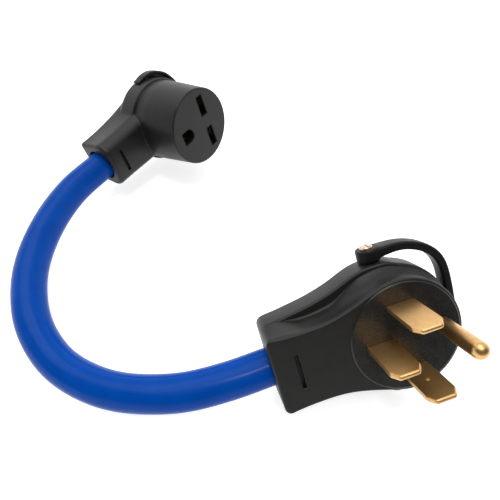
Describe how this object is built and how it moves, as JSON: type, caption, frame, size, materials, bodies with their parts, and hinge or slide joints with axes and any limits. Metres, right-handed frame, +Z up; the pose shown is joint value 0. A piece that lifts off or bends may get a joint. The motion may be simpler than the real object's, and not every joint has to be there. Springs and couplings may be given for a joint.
{
  "type": "power adapter dogbone",
  "caption": "Short blue cord with a right-angle four-prong plug at one end and a right-angle three-opening socket at the other, each with a swinging pull handle.",
  "frame": {"origin": "middle of the adapter's footprint, on the floor it lies on", "axes": "+Z up; -Y towards the side with the plug end, whose prongs face -Y and upwards; +X to the right, from the cord's bend towards the two ends"},
  "size_m": [0.227, 0.2284, 0.0738],
  "materials": {
    "moulded_black": "satin moulded PVC",
    "hard_black": "semi-gloss hard plastic",
    "jacket_blue": "satin PVC",
    "brass": "brushed, warm copper-gold",
    "screw_brass": "polished",
    "copper": "bare stranded copper",
    "tinned_sleeve": "tinned",
    "insulation_green": "satin",
    "insulation_black": "satin",
    "insulation_white": "satin",
    "filler": "fibrous"
  },
  "bodies": {
    "adapter": {"plug_body": "moulded_black", "plug_pin_carrier": "hard_black", "plug_blade_hot_upper": "brass", "plug_blade_hot_lower": "brass", "plug_blade_neutral": "brass", "plug_ground_pin": "brass", "plug_crimp_hot_upper": "tinned_sleeve", "plug_crimp_hot_lower": "tinned_sleeve", "plug_crimp_ground": "tinned_sleeve", "plug_bail_screw_upper": "screw_brass", "plug_bail_screw_lower": "screw_brass", "cord_jacket": "jacket_blue", "cord_filler_a": "filler", "cord_filler_b": "filler", "cord_filler_c": "filler", "wire_ground_core": "copper", "wire_ground_insulation": "insulation_green", "wire_hot_x_core": "copper", "wire_hot_x_insulation": "insulation_black", "wire_hot_y_core": "copper", "wire_hot_y_insulation": "insulation_white", "socket_body": "moulded_black", "socket_contact_block": "hard_black", "socket_contact_hot_upper": "brass", "socket_contact_hot_lower": "brass", "socket_contact_ground": "brass", "socket_crimp_hot_upper": "tinned_sleeve", "socket_crimp_hot_lower": "tinned_sleeve", "socket_crimp_ground": "tinned_sleeve"},
    "plug_handle": {"plug_bail": "moulded_black"},
    "socket_handle": {"socket_bail": "moulded_black"}
  },
  "joints": [
    {"name": "plug_handle_swing", "type": "hinge", "parent": "adapter", "child": "plug_handle", "pos_m": [0.07377, -0.06679, 0.03135], "axis": [-0.3293, 0.5364, 0.7771], "range_deg": [0, 150]},
    {"name": "socket_handle_swing", "type": "hinge", "parent": "adapter", "child": "socket_handle", "pos_m": [-0.0547, 0.0891, 0.03061], "axis": [-0.3059, 0.0599, 0.9502], "range_deg": [0, 145]}
  ]
}
